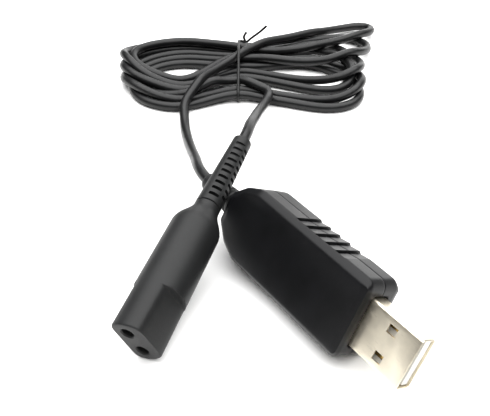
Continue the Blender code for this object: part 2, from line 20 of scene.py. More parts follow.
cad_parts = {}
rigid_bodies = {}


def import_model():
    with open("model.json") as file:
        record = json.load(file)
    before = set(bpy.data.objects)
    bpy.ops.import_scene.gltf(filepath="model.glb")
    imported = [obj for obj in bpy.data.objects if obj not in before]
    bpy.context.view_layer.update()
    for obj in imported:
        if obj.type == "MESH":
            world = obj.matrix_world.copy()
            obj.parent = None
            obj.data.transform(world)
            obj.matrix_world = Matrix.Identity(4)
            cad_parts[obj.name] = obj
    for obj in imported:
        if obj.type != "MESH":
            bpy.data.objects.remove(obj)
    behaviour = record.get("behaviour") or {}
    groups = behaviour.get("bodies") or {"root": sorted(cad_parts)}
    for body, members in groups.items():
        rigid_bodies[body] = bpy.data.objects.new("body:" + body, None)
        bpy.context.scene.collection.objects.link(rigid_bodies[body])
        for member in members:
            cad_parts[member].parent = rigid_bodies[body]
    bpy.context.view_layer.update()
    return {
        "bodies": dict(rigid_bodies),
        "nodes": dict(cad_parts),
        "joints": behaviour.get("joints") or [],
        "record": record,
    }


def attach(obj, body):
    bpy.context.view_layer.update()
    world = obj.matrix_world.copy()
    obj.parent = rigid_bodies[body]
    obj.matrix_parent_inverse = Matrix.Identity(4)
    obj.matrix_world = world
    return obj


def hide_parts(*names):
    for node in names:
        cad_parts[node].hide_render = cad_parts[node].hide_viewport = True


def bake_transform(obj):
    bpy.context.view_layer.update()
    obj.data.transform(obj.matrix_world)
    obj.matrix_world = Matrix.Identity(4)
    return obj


MM = 0.001
LOG = logging.getLogger("charging_lead")
Point = Sequence[float]
Ring = list[tuple[float, float, float]]


class Body(str, Enum):
    """The moving bodies that a piece can ride on."""

    CORD = "cord"
    PLUG = "plug"
    CONNECTOR = "connector"


# ---------------------------------------------------------------- shader expressions


class Value:
    """A shader socket that adds Math nodes when it is used in an expression."""

    def __init__(self, paint: "Paint", socket: Any) -> None:
        """Wrap one output socket of a paint's node tree."""
        self.paint = paint
        self.socket = socket

    def _math(self, operation: str, first: Any, second: Any = 0.0) -> "Value":
        """Add one Math node and return its result."""
        return self.paint.node("ShaderNodeMath", {"operation": operation}, {0: first, 1: second})

    def __add__(self, other: Any) -> "Value":
        """Return self + other."""
        return self._math("ADD", self, other)

    __radd__ = __add__

    def __sub__(self, other: Any) -> "Value":
        """Return self - other."""
        return self._math("SUBTRACT", self, other)

    def __rsub__(self, other: Any) -> "Value":
        """Return other - self."""
        return self._math("SUBTRACT", other, self)

    def __mul__(self, other: Any) -> "Value":
        """Return self * other."""
        return self._math("MULTIPLY", self, other)

    __rmul__ = __mul__

    def ramp(self, low: float, high: float) -> "Value":
        """Return a smooth 0 to 1 step between two values of self."""
        settings = {"interpolation_type": "SMOOTHSTEP"}
        return self.paint.node("ShaderNodeMapRange", settings, {0: self, 1: low, 2: high, 3: 0.0, 4: 1.0})


class Paint:
    """One material under construction, with one method that makes any node."""

    def __init__(self, name: str) -> None:
        """Start a material whose Principled shader the finish then sets."""
        self.material = bpy.data.materials.new(name)
        self.material.use_nodes = True
        self.tree = self.material.node_tree
        self.shader = self.tree.nodes["Principled BSDF"]
        self.place = self.node("ShaderNodeTexCoord", output="Object")

    def node(
        self,
        kind: str,
        settings: Optional[dict[str, Any]] = None,
        inputs: Optional[dict[Any, Any]] = None,
        output: Union[int, str] = 0,
    ) -> Value:
        """Add a node.

        Args:
            kind: the node's Blender type.
            settings: properties that are set before the sockets.
            inputs: socket name or index to a number, colour or Value.
            output: the output that is returned.

        Returns:
            The chosen output as a Value.
        """
        node = self.tree.nodes.new(kind)
        for key, setting in (settings or {}).items():
            setattr(node, key, setting)
        for key, given in (inputs or {}).items():
            if isinstance(given, Value):
                self.tree.links.new(given.socket, node.inputs[key])
            else:
                node.inputs[key].default_value = given
        return Value(self, node.outputs[output])

    def noise(self, size: float, detail: float = 2.0, stretch: Point = (1.0, 1.0, 1.0)) -> Value:
        """Return noise whose features are about a size in millimetres, longer where stretch is."""
        scale = [1.0 / part for part in stretch]
        where = self.node("ShaderNodeMapping", inputs={"Vector": self.place, "Scale": scale})
        sockets = {"Vector": where, "Scale": 1.0 / (size * MM), "Detail": detail}
        return self.node("ShaderNodeTexNoise", {"noise_dimensions": "3D"}, sockets)

    def blend(self, mask: Value, first: Any, second: Any) -> Value:
        """Return a colour that goes from first to second with the mask."""
        settings = {"data_type": "RGBA", "blend_type": "MIX"}
        return self.node("ShaderNodeMix", settings, {0: mask, 6: first, 7: second}, output=2)

    def fixed(self, **sockets: Any) -> None:
        """Set constants on the shader's own sockets; underscores stand for spaces."""
        for name, number in sockets.items():
            self.shader.inputs[name.replace("_", " ")].default_value = number

    def varied(self, name: str, value: Value) -> None:
        """Link a varying value to one of the shader's sockets."""
        self.tree.links.new(value.socket, self.shader.inputs[name])

    def bump(self, height: Value, depth: float, strength: float = 1.0) -> None:
        """Raise the surface by a height of a depth in millimetres."""
        inputs = {"Height": height, "Distance": depth * MM, "Strength": strength}
        self.varied("Normal", self.node("ShaderNodeBump", None, inputs))


Colour = tuple[float, float, float]


def opaque(colour: Colour, gain: float = 1.0) -> tuple[float, float, float, float]:
    """Return a colour with alpha 1, made lighter or darker by a gain."""
    return (colour[0] * gain, colour[1] * gain, colour[2] * gain, 1.0)


@dataclass(frozen=True)
class Moulding:
    """A moulded plastic or vinyl: fine tool texture, uneven gloss and a little dust."""

    name: str
    colour: Colour
    gloss: float
    grain: float = 0.22
    grain_depth: float = 0.012
    dust: float = 0.25
    mottle: float = 0.10
    shine: float = 0.3

    def make(self) -> bpy.types.Material:
        """Return the finish as a material."""
        paint = Paint(self.name)
        cloud = paint.noise(7.0, 3.0)
        fine = paint.noise(self.grain, 3.0)
        specks = paint.noise(0.55, 1.0).ramp(0.70, 0.78) * self.dust
        tone = paint.blend(cloud.ramp(0.35, 0.65), opaque(self.colour, 0.86), opaque(self.colour, 1.16))
        paint.varied("Base Color", paint.blend(specks, tone, opaque(self.colour, 3.0)))
        uneven = (cloud - 0.5) * self.mottle + (fine - 0.5) * 0.08 + specks * 0.3
        paint.varied("Roughness", uneven + self.gloss)
        paint.bump(fine, self.grain_depth)
        paint.fixed(Specular_IOR_Level=self.shine)
        return paint.material


@dataclass(frozen=True)
class CordSheath:
    """Extruded vinyl: smooth and semi-gloss, with soft waviness and faint handling marks."""

    name: str
    colour: Colour
    gloss: float
    shine: float = 0.35

    def make(self) -> bpy.types.Material:
        """Return the finish as a material."""
        paint = Paint(self.name)
        wave = paint.noise(4.0, 2.0)
        skin = paint.noise(0.35, 3.0)
        marks = paint.noise(1.6, 4.0).ramp(0.58, 0.72)
        tone = paint.blend(wave.ramp(0.3, 0.7), opaque(self.colour, 0.85), opaque(self.colour, 1.2))
        paint.varied("Base Color", tone)
        paint.varied("Roughness", marks * 0.14 + (skin - 0.5) * 0.10 + self.gloss)
        paint.bump(skin * 0.35 + wave, 0.05, 0.5)
        paint.fixed(Specular_IOR_Level=self.shine)
        return paint.material


@dataclass(frozen=True)
class Plating:
    """Plated sheet metal: fine draw lines along the part, hairline scratches, cloudy gloss."""

    name: str
    colour: Colour
    gloss: float
    along: Point = (14.0, 1.0, 1.0)
    lines: float = 0.10

    def make(self) -> bpy.types.Material:
        """Return the finish as a material."""
        paint = Paint(self.name)
        cloud = paint.noise(3.5, 3.0)
        drawn = paint.noise(self.lines, 3.0, self.along)
        hair = paint.noise(0.5, 6.0, (9.0, 1.0, 3.0)).ramp(0.61, 0.66)
        tone = paint.blend(cloud.ramp(0.35, 0.7), opaque(self.colour, 0.93), opaque(self.colour, 1.05))
        paint.varied("Base Color", paint.blend(hair * 0.35, tone, opaque(self.colour, 0.72)))
        paint.varied("Roughness", (drawn - 0.5) * 0.16 + (cloud - 0.5) * 0.10 + hair * 0.12 + self.gloss)
        paint.bump(drawn + hair * -0.6, 0.006)
        paint.fixed(Metallic=1.0)
        return paint.material


@dataclass(frozen=True)
class MaskedBoard:
    """Solder-masked glass fibre with a faint weave and lighter tracks under the mask."""

    name: str
    colour: Colour

    def make(self) -> bpy.types.Material:
        """Return the finish as a material."""
        paint = Paint(self.name)
        weave = paint.noise(0.3, 1.0, (4.0, 1.0, 1.0)) * paint.noise(0.3, 1.0, (1.0, 4.0, 4.0))
        tracks = paint.noise(2.6, 0.0, (2.5, 1.0, 1.0)).ramp(0.50, 0.53)
        paint.varied("Base Color", paint.blend(tracks, opaque(self.colour, 0.7), opaque(self.colour, 1.6)))
        paint.varied("Roughness", weave * 0.25 + 0.28)
        paint.bump(tracks + weave * 0.3, 0.02)
        return paint.material


@dataclass(frozen=True)
class Sintered:
    """Fired ceramic or pressed ferrite: matte, with pits and a cloudy tone."""

    name: str
    colour: Colour
    gloss: float

    def make(self) -> bpy.types.Material:
        """Return the finish as a material."""
        paint = Paint(self.name)
        pits = paint.noise(0.16, 4.0)
        cloud = paint.noise(1.4, 2.0)
        tone = paint.blend(cloud.ramp(0.3, 0.7), opaque(self.colour, 0.8), opaque(self.colour, 1.2))
        paint.varied("Base Color", tone)
        paint.varied("Roughness", (pits - 0.5) * 0.2 + self.gloss)
        paint.bump(pits, 0.03)
        return paint.material


@dataclass(frozen=True)
class Tabletop:
    """A white sheet of card under the object, faintly toothed."""

    name: str
    colour: Colour

    def make(self) -> bpy.types.Material:
        """Return the finish as a material."""
        paint = Paint(self.name)
        tooth = paint.noise(0.9, 4.0)
        paint.varied("Base Color", paint.blend(tooth, opaque(self.colour, 0.985), opaque(self.colour)))
        paint.fixed(Roughness=0.75)
        paint.bump(tooth, 0.03, 0.3)
        return paint.material


@dataclass(frozen=True)
class Finishes:
    """Every material of the lead, made once."""

    made: dict[str, bpy.types.Material]

    @staticmethod
    def make() -> "Finishes":
        """Return all the finishes, by the record's material slot."""
        makers = (
            Moulding("housing_black", (0.0035, 0.0036, 0.0042), 0.36, shine=0.20),
            Moulding(
                "connector_black", (0.0085, 0.0088, 0.0090), 0.50, grain=0.4, grain_depth=0.018, shine=0.26,
            ),
            CordSheath("cord_black", (0.0040, 0.0041, 0.0043), 0.36, 0.30),
            Plating("nickel_plate", (0.80, 0.735, 0.600), 0.34),
            Plating("gold_plate", (0.86, 0.64, 0.28), 0.22),
            Plating("socket_brass", (0.74, 0.56, 0.27), 0.33),
            Moulding("insulator_white", (0.80, 0.79, 0.75), 0.45, dust=0.0, mottle=0.06),
            Moulding("carrier_black", (0.045, 0.045, 0.047), 0.55),
            MaskedBoard("board_green", (0.015, 0.12, 0.05)),
            Moulding("component_black", (0.022, 0.022, 0.024), 0.55, grain=0.1, dust=0.1),
            Sintered("ceramic", (0.50, 0.36, 0.22), 0.42),
            Sintered("ferrite", (0.075, 0.075, 0.078), 0.62),
            CordSheath("wire_red", (0.50, 0.025, 0.018), 0.40),
            CordSheath("wire_black", (0.020, 0.020, 0.021), 0.42),
            Moulding("tie_black", (0.006, 0.006, 0.006), 0.48, grain=0.15, dust=0.1),
            Tabletop("card_white", (0.94, 0.937, 0.930)),
        )
        return Finishes({maker.name: maker.make() for maker in makers})

    def __getitem__(self, slot: str) -> bpy.types.Material:
        """Return the material of one slot."""
        return self.made[slot]


# ---------------------------------------------------------------- mesh tools


def loft(rings: Sequence[Ring], closed: bool = False) -> bmesh.types.BMesh:
    """Skin rings of equal length.

    Args:
        rings: outlines in order along the piece.
        closed: whether the last ring joins the first, in place of two caps.

    Returns:
        A closed bmesh in millimetres.
    """
    builder = bmesh.new()
    rows = [[builder.verts.new(point) for point in ring] for ring in rings]
    pairs = list(zip(rows, rows[1:]))
    if closed:
        pairs.append((rows[-1], rows[0]))
    for near, far in pairs:
        count = len(near)
        for i in range(count):
            j = (i + 1) % count
            builder.faces.new((near[i], near[j], far[j], far[i]))
    if not closed:
        builder.faces.new(list(reversed(rows[0])))
        builder.faces.new(rows[-1])
    bmesh.ops.recalc_face_normals(builder, faces=builder.faces)
    return builder


def lathe(profile: Iterable[tuple[float, float]], segments: int) -> bmesh.types.BMesh:
    """Turn (x, radius) stations about the X axis."""
    turns = [math.tau * i / segments for i in range(segments)]
    rings = [[(x, r * math.cos(turn), r * math.sin(turn)) for turn in turns] for x, r in profile]
    return loft(rings)


def block(low: Point, high: Point) -> bmesh.types.BMesh:
    """Return a rectangular block between two corners, for cutting."""
    builder = bmesh.new()
    size = [b - a for a, b in zip(low, high)]
    middle = [(b + a) / 2 for a, b in zip(low, high)]
    matrix = Matrix.Translation(middle) @ Matrix.Diagonal((*size, 1.0))
    bmesh.ops.create_cube(builder, size=1.0, matrix=matrix)
    return builder


def softened_block(low: Point, high: Point, radius: float, segments: int = 3) -> bmesh.types.BMesh:
    """Return a block whose edges are rounded."""
    builder = block(low, high)
    bmesh.ops.bevel(
        builder, geom=list(builder.edges), offset=radius, segments=segments, profile=0.5, affect="EDGES",
    )
    return builder


def joined(builders: Iterable[bmesh.types.BMesh]) -> bmesh.types.BMesh:
    """Merge several bmeshes into one and free them."""
    whole = bmesh.new()
    for builder in builders:
        mesh = bpy.data.meshes.new("part_of_piece")
        builder.to_mesh(mesh)
        builder.free()
        whole.from_mesh(mesh)
        bpy.data.meshes.remove(mesh)
    return whole


def moved(builder: bmesh.types.BMesh, matrix: Matrix) -> bmesh.types.BMesh:
    """Return a bmesh after a transform in millimetres."""
    builder.transform(matrix)
    return builder


def rounded_rectangle(
    half_width: float, half_height: float, radius: float, steps: int = 6,
) -> list[tuple[float, float]]:
    """Return (a, b) points of a rectangle with round corners."""
    points = []
    for sign_a, sign_b, start in ((1, 1, 0), (-1, 1, 1), (-1, -1, 2), (1, -1, 3)):
        for step in range(steps + 1):
            turn = (start + step / steps) * math.pi / 2
            points.append((
                sign_a * (half_width - radius) + radius * math.cos(turn),
                sign_b * (half_height - radius) + radius * math.sin(turn),
            ))
    return points


def subtract(piece: bpy.types.Object, tool: bpy.types.Object) -> None:
    """Cut a tool out of a piece and delete the tool."""
    modifier = piece.modifiers.new("cut", "BOOLEAN")
    modifier.operation = "DIFFERENCE"
    modifier.object = tool
    apply_modifiers(piece)
    bpy.data.objects.remove(tool, do_unlink=True)


def apply_modifiers(piece: bpy.types.Object) -> None:
    """Replace a piece's mesh by its evaluated one."""
    bpy.context.view_layer.update()
    evaluated = piece.evaluated_get(bpy.context.evaluated_depsgraph_get())
    mesh = bpy.data.meshes.new_from_object(evaluated)
    piece.modifiers.clear()
    piece.data = mesh


def shade(piece: bpy.types.Object, angle: float = 32.0) -> None:
    """Shade a piece smooth, with its sharp edges kept."""
    piece.data.shade_smooth()
    piece.data.set_sharp_from_angle(angle=math.radians(angle))


@dataclass
class Workbench:
    """Makes pieces in one assembly's frame and dresses them."""

    frame: Matrix
    finishes: Finishes

    def solid(self, name: str, builder: bmesh.types.BMesh, angle: float = 32.0) -> bpy.types.Object:
        """Turn a bmesh in millimetres of this frame into an object in row metres."""
        bmesh.ops.recalc_face_normals(builder, faces=builder.faces)
        builder.transform(self.frame @ Matrix.Diagonal((MM, MM, MM, 1.0)))
        mesh = bpy.data.meshes.new(name)
        builder.to_mesh(mesh)
        builder.free()
        piece = bpy.data.objects.new(name, mesh)
        bpy.context.scene.collection.objects.link(piece)
        shade(piece, angle)
        return piece

    def dress(self, piece: bpy.types.Object, slot: str, *nodes: str) -> bpy.types.Object:
        """Give a piece its finish and hide the CAD nodes that it stands for."""
        piece.data.materials.clear()
        piece.data.materials.append(self.finishes[slot])
        if nodes:
            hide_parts(*nodes)
        LOG.info("built %s", piece.name)
        return piece

    def tube(self, name: str, points: Sequence[Point], radius: float, sides: int = 3) -> bpy.types.Object:
        """Return a round tube along points in millimetres of this frame."""
        curve = bpy.data.curves.new(name, "CURVE")
        curve.dimensions = "3D"
        curve.bevel_depth = radius * MM
        curve.bevel_resolution = sides
        curve.use_fill_caps = True
        spline = curve.splines.new("POLY")
        spline.points.add(len(points) - 1)
        for knot, point in zip(spline.points, points):
            knot.co = (*(self.frame @ (Vector(point) * MM)), 1.0)
        spline.use_smooth = True
        piece = bpy.data.objects.new(name, curve)
        bpy.context.scene.collection.objects.link(piece)
        return piece


# ---------------------------------------------------------------- curves


def resampled(points: np.ndarray, spacing: float) -> np.ndarray:
    """Return points evenly spaced along a polyline."""
    travel = np.r_[0.0, np.cumsum(np.linalg.norm(np.diff(points, axis=0), axis=1))]
    count = max(2, round(float(travel[-1]) / spacing))
    wanted = np.linspace(0.0, travel[-1], count + 1)
    return np.stack([np.interp(wanted, travel, points[:, k]) for k in range(3)], axis=1)


def smooth_curve(route: Sequence[Point], spacing: float, steps: int = 16) -> np.ndarray:
    """Read a centripetal Catmull-Rom curve through a route.

    Args:
        route: the route's own points.
        spacing: distance between the points that are returned.
        steps: samples between two points of the route.

    Returns:
        Points along the curve, one per row.
    """
    knots = np.asarray(route, float)
    knots = np.vstack([2 * knots[0] - knots[1], knots, 2 * knots[-1] - knots[-2]])
    dense = []
    for a, b, c, d in zip(knots, knots[1:], knots[2:], knots[3:]):
        times = [0.0]
        for start, end in ((a, b), (b, c), (c, d)):
            times.append(times[-1] + float(np.linalg.norm(end - start)) ** 0.5)
        t0, t1, t2, t3 = times
        for t in np.linspace(t1, t2, steps, endpoint=False):
            ab = (t1 - t) / (t1 - t0) * a + (t - t0) / (t1 - t0) * b
            bc = (t2 - t) / (t2 - t1) * b + (t - t1) / (t2 - t1) * c
            cd = (t3 - t) / (t3 - t2) * c + (t - t2) / (t3 - t2) * d
            early = (t2 - t) / (t2 - t0) * ab + (t - t0) / (t2 - t0) * bc
            late = (t3 - t) / (t3 - t1) * bc + (t - t1) / (t3 - t1) * cd
            dense.append((t2 - t) / (t2 - t1) * early + (t - t1) / (t2 - t1) * late)
    dense.append(knots[-2])
    return resampled(np.array(dense), spacing)


def eased(values: np.ndarray, times: int) -> np.ndarray:
    """Average each point with its neighbours a number of times, with the ends held."""
    for _ in range(times):
        inner = 0.25 * values[:-2] + 0.5 * values[1:-1] + 0.25 * values[2:]
        values = np.vstack([values[:1], inner, values[-1:]])
    return values


# ---------------------------------------------------------------- the cord


@dataclass(frozen=True)
class LeftBend:
    """Where one winding turns at the hank's left end: V at the back and front, and its reach in U."""

    back: float
    front: float
    reach: float
    lift: float


@dataclass(frozen=True)
class RightBend:
    """Where one winding turns at the hank's right end: (U, V) at the front, tip and back."""

    front: tuple[float, float]
    tip: tuple[float, float]
    back: tuple[float, float]


@dataclass(frozen=True)
class Winding:
    """One turn of the hank, with the V at which it passes the tie at the back and the front."""

    left: LeftBend
    back_waist: float
    front_waist: float
    right: Optional[RightBend]


@dataclass
class Hank:
    """The tied turns of cord, in the hank's own frame: U along the turns, V across, Z up.

    The turns are laid by a loop over the windings and then settled, so that strands that
    cross lie over each other, close to a diameter apart, and the rest lies on the table.
    """

    diameter: float = 3.0
    spacing: float = 1.6
    left_centre: float = -19.0
    table_gap: float = 0.05
    ceiling: float = 6.9
    rounds: int = 240
    samples: int = 8
    windings: tuple[Winding, ...] = (
        Winding(
            LeftBend(20.5, -4.6, -37.2, 4.3), 18.0, 6.6,
            RightBend((33, 4.0), (47.0, 19.0), (36, 29.5)),
        ),
        Winding(
            LeftBend(24.6, -8.9, -41.0, 2.6), 20.5, 1.2,
            RightBend((31, -8.4), (42.0, 6.0), (29, 25.6)),
        ),
        Winding(
            LeftBend(20.6, -12.8, -39.4, 2.0), 16.5, -3.0,
            RightBend((29, -11.8), (39.0, 0.0), (26, 19.4)),
        ),
        Winding(
            LeftBend(16.6, -17.9, -38.4, 1.3), 12.8, -11.2,
            RightBend((28, -18.4), (41.5, -4.0), (24, 13.4)),
        ),
        Winding(
            LeftBend(12.6, -21.2, -36.4, 1.3), 9.2, -14.6,
            RightBend((27, -21.8), (40.4, -9.0), (22, 8.6)),
        ),
        Winding(LeftBend(8.6, -15.4, -33.6, 1.3), 5.6, -8.0, None),
    )
    first_fold: tuple[Point, ...] = (
        (-16.0, -19.6, 4.5), (-14.2, -16.2, 5.4), (-11.2, -11.6, 6.7), (-7.6, -5.2, 6.9), (-3.6, 0.6, 6.9),
        (2.6, 8.6, 6.8), (9.5, 15.6, 6.6), (19.0, 22.6, 5.8), (30.0, 30.4, 4.8), (40.4, 37.6, 4.0),
        (47.2, 39.4, 3.9), (50.6, 35.4, 3.9), (48.2, 29.8, 3.9), (41.4, 24.2, 3.9), (33.6, 19.2, 3.9),
        (22.0, 14.8, 3.9), (9.0, 13.2, 4.2),
    )
    way_out: tuple[Point, ...] = ((3.0, -10.6, 2.6), (7.2, -12.9, 3.9), (10.2, -15.8, 4.2))
    tie_lift: float = 0.95
    tie_width: float = 5.0

    def bend(self, start: Point, tip: Point, end: Point, lifts: Point) -> list[tuple[float, float, float]]:
        """Return half an oval from start to end round a tip, at heights that go with it."""
        middle = [(a + b) / 2 for a, b in zip(start, end)]
        points = []
        for step in range(self.samples + 1):
            turn = math.pi * (step / self.samples - 0.5)
            out, across = math.cos(turn), math.sin(turn)
            u, v = (m + (t - m) * out + (e - m) * across for m, t, e in zip(middle, tip, end))
            rest = lifts[0] if across < 0 else lifts[2]
            points.append((u, v, rest * (1 - out) + lifts[1] * out))
        return points

    def laid(self) -> list[Point]:
        """Return the route of the turns as they are first laid."""
        low = self.diameter / 2
        route = list(self.first_fold)
        for number, winding in enumerate(self.windings):
            left = winding.left
            lift = low + 0.1 if number else 4.2
            if number:
                route.append((2.0, winding.back_waist, lift))
            tip = (left.reach, (left.back + left.front) / 2)
            start, end = (self.left_centre, left.back), (self.left_centre, left.front)
            route += self.bend(start, tip, end, (lift, left.lift, low))
            route.append((0.0, winding.front_waist, low))
            if winding.right:
                right = winding.right
                route += self.bend(right.front, right.tip, right.back, (low, low, low))
        return route + list(self.way_out)

    def settled(self, route: np.ndarray, loose: np.ndarray, along: np.ndarray) -> np.ndarray:
        """Let a laid route settle under gravity and push strands that touch apart.

        Args:
            route: evenly spaced points, in the order from the housing to the connector.
            loose: 1 for points that may move, down to 0 for points that are held.
            along: each point's U, which tells how near it is to the tie.

        Returns:
            The settled points.
        """
        count = len(route)
        order = np.arange(count)
        rank = -order.astype(float)
        last = np.flatnonzero(loose > 0.5)[-1]
        rank[last - int(22 / self.spacing):] = 1.0
        apart = np.triu(np.abs(order[:, None] - order[None, :]) > int(3.2 * self.diameter / self.spacing))
        over = rank[:, None] > rank[None, :]
        reach = self.diameter * 1.03
        floor = self.diameter / 2 + self.table_gap + self.tie_lift * np.exp(-((along / self.tie_width) ** 2))
        held = loose[:, None]
        place = route.copy()
        for turn in range(self.rounds):
            gap = place[:, None, :] - place[None, :, :]
            flat = gap[..., 0] ** 2 + gap[..., 1] ** 2
            swapped = np.where(over, gap[..., 2], -gap[..., 2]) < 0
            crowded = flat + gap[..., 2] ** 2 < reach ** 2
            touching = apart & (crowded | (swapped & (flat < (0.6 * reach) ** 2)))
            i, j = np.nonzero(touching)
            push = np.zeros_like(place)
            hits = np.zeros(count)
            if len(i):
                between = gap[i, j]
                across = np.sqrt(flat[i, j]) + 1e-9
                upper = over[i, j]
                height = np.where(upper, between[:, 2], -between[:, 2])
                beside = across > 0.72 * reach
                clear = np.sqrt(np.maximum(reach ** 2 - across ** 2, 0.0))
                lift = np.clip(clear - height, 0.0, None) * ~beside
                overlap = np.clip(reach - np.sqrt(across ** 2 + height ** 2), 0.0, None)
                aside = (np.where(beside, 0.5, 0.125) * overlap / across)[:, None] * between[:, :2]
                np.add.at(push[:, :2], i, aside)
                np.add.at(push[:, :2], j, -aside)
                np.add.at(push[:, 2], np.where(upper, i, j), 0.75 * lift)
                np.add.at(push[:, 2], np.where(upper, j, i), -0.25 * lift)
                np.add.at(hits, i, 1)
                np.add.at(hits, j, 1)
            place += held * 1.3 * push / np.maximum(hits, 1)[:, None]
            if turn < 0.7 * self.rounds:
                place[:, :2] += 0.03 * (route[:, :2] - place[:, :2])
                place[:, 2] -= 0.06 * loose
            place = route + held * eased(place - route, 2 if turn < 0.8 * self.rounds else 1)
            high = (place[:, 2] > self.ceiling) & (loose > 0.5)
            place[high, 2] = self.ceiling + 0.3 * (place[high, 2] - self.ceiling)
            place[:, 2] = np.maximum(place[:, 2], floor)
        return place


@dataclass
class CordAssembly:
    """The whole cord from one strain relief to the other, and the frame of the hank that the twist tie goes
    round.
    """

    bench: Workbench
    hank: Hank
    heading: float = 55.0
    centre: tuple[float, float] = (-94.6, 48.5)
    core: float = 0.45
    ease_in: float = 12.0
    housing_leg: tuple[Point, ...] = (
        (-37.5, 0.0, 10.5), (-40.5, 0.2, 10.5), (-45.2, 1.6, 9.8), (-51.6, 4.7, 7.6), (-59.6, 8.2, 4.9),
        (-67.7, 11.8, 2.8), (-75.6, 15.5, 1.8), (-81.2, 18.6, 2.4), (-85.6, 21.3, 3.6),
    )
    connector_leg: tuple[Point, ...] = (
        (-72.8, 45.2, 4.2), (-68.4, 40.9, 6.1), (-61.6, 34.6, 9.6), (-53.9, 27.5, 13.9), (-47.0, 21.2, 17.4),
        (-42.4, 16.6, 19.4), (-38.6, 12.9, 20.0), (-36.5, 10.2, 19.7),
    )

    def hank_frame(self) -> Matrix:
        """Return the hank's frame in row millimetres."""
        return Matrix.Translation((*self.centre, 0.0)) @ Matrix.Rotation(math.radians(self.heading), 4, "Z")

    def centreline(self, start: Point, inside: Sequence[Point]) -> np.ndarray:
        """Return the cord's whole centreline in row millimetres, settled in the hank.

        Args:
            start: a point inside the housing's strain relief.
            inside: points that follow the connector leg within the boot.
        """
        frame = self.hank_frame()
        turns = [tuple(frame @ Vector(point)) for point in self.hank.laid()]
        legs = ([start, *self.housing_leg], [*self.connector_leg, *inside])
        route = smooth_curve([*legs[0], *turns, *legs[1]], self.hank.spacing)
        travel = np.arange(len(route)) * self.hank.spacing
        near, far = (
            float(np.linalg.norm(np.diff(np.array(leg, float), axis=0), axis=1).sum()) for leg in legs
        )
        ends = np.minimum(travel - near, travel[-1] - far - travel)
        loose = np.clip(ends / self.ease_in, 0.0, 1.0)
        inverse = np.array(frame.inverted())
        along = route @ inverse[0, :3] + inverse[0, 3]
        return eased(self.hank.settled(route, loose, along), 3)

    def build_cord(
        self, start: Point, inside: Sequence[Point],
    ) -> np.ndarray:
        """Args:
            start: a point inside the housing's strain relief.
            inside: points within the boot.

        Returns:
            The centreline in row millimetres.
        """
        line = self.centreline(start, inside)
        cord = self.bench.tube("cord", line, self.hank.diameter / 2)
        self.bench.dress(cord, "cord_black", "cord_housing_leg", "cord_hank", "cord_connector_leg")
        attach(cord, Body.CORD.value)
        return line


@dataclass
class TwistTie:
    """A plastic-covered wire closed round the hank's waist, with its ends twisted together."""

    bench: Workbench
    radius: float = 0.45
    reach: float = 30.0
    snug: float = 0.12
    twist_pitch: float = 2.6
    tail: tuple[Point, ...] = ((4.6, 23.4, 4.6), (7.4, 24.1, 6.4), (10.2, 24.6, 8.8))
    short_tail: tuple[Point, ...] = ((1.7, 22.6, 5.2), (2.7, 22.0, 7.4))

    def loop(self, section: np.ndarray, strand: float) -> list[tuple[float, float]]:
        """Return the tight outline round the strands' section.

        Args:
            section: (v, z) centres of the strands at the waist.
            strand: the strands' radius.
        """
        reach = strand + self.radius + self.snug
        turns = np.linspace(0.0, math.tau, 40, endpoint=False)
        rims = [(v + reach * math.cos(t), z + reach * math.sin(t)) for v, z in section for t in turns]
        rims.sort()
        hull: list[tuple[float, float]] = []
        for side in (rims, rims[::-1]):
            part: list[tuple[float, float]] = []
            for point in side:
                while len(part) > 1 and self.turns_right(part[-2], part[-1], point):
                    part.pop()
                part.append(point)
            hull += part[:-1]
        return hull

    @staticmethod
    def turns_right(a: Point, b: Point, c: Point) -> bool:
        """Return whether the way from a through b to c doesn't turn left."""
        return (b[0] - a[0]) * (c[1] - a[1]) - (b[1] - a[1]) * (c[0] - a[0]) <= 0

    def build(self, line: np.ndarray, frame: Matrix, strand: float) -> bpy.types.Object:
        """Wrap the tie round the settled strands.

        Args:
            line: the cord's centreline in row millimetres.
            frame: the hank's frame in row millimetres.
            strand: the cord's radius in millimetres.
        """
        inverse = np.array(frame.inverted())
        local = line @ inverse[:3, :3].T + inverse[:3, 3]
        within = np.abs(local[:-1, 1]) < self.reach
        crossing = np.flatnonzero((local[:-1, 0] * local[1:, 0] <= 0) & within)
        section = local[crossing][:, 1:]
        outline = self.loop(section, strand)
        start = max(range(len(outline)), key=lambda k: outline[k][0] + 0.6 * outline[k][1])
        around = [outline[(start + k) % len(outline)] for k in range(len(outline))]
        loop = [(0.25 * k / len(around), v, max(z, self.radius + 0.06)) for k, (v, z) in enumerate(around)]
        knot = Vector((0.6, around[0][0] + 0.5, around[0][1] + 0.2))
        ends = []
        for number, tail in enumerate((self.short_tail, self.tail)):
            twist = []
            for step in range(7):
                turn = math.pi * number + step / 6 * math.tau
                offset = Vector((0.0, math.cos(turn), math.sin(turn))) * (self.radius * 0.95)
                twist.append(knot + Vector((0.32 * step, 0.05 * step, -0.1 * step)) + offset)
            ends.append([tuple(point) for point in twist] + list(tail))
        route = list(reversed(ends[0])) + loop + ends[1]
        smooth = smooth_curve([tuple(frame @ Vector(point)) for point in route], 0.7, 6)
        piece = self.bench.tube("twist_tie_wire", eased(smooth, 2), self.radius)
        self.bench.dress(piece, "tie_black", "twist_tie")
        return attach(piece, Body.CORD.value)


# ---------------------------------------------------------------- the plug


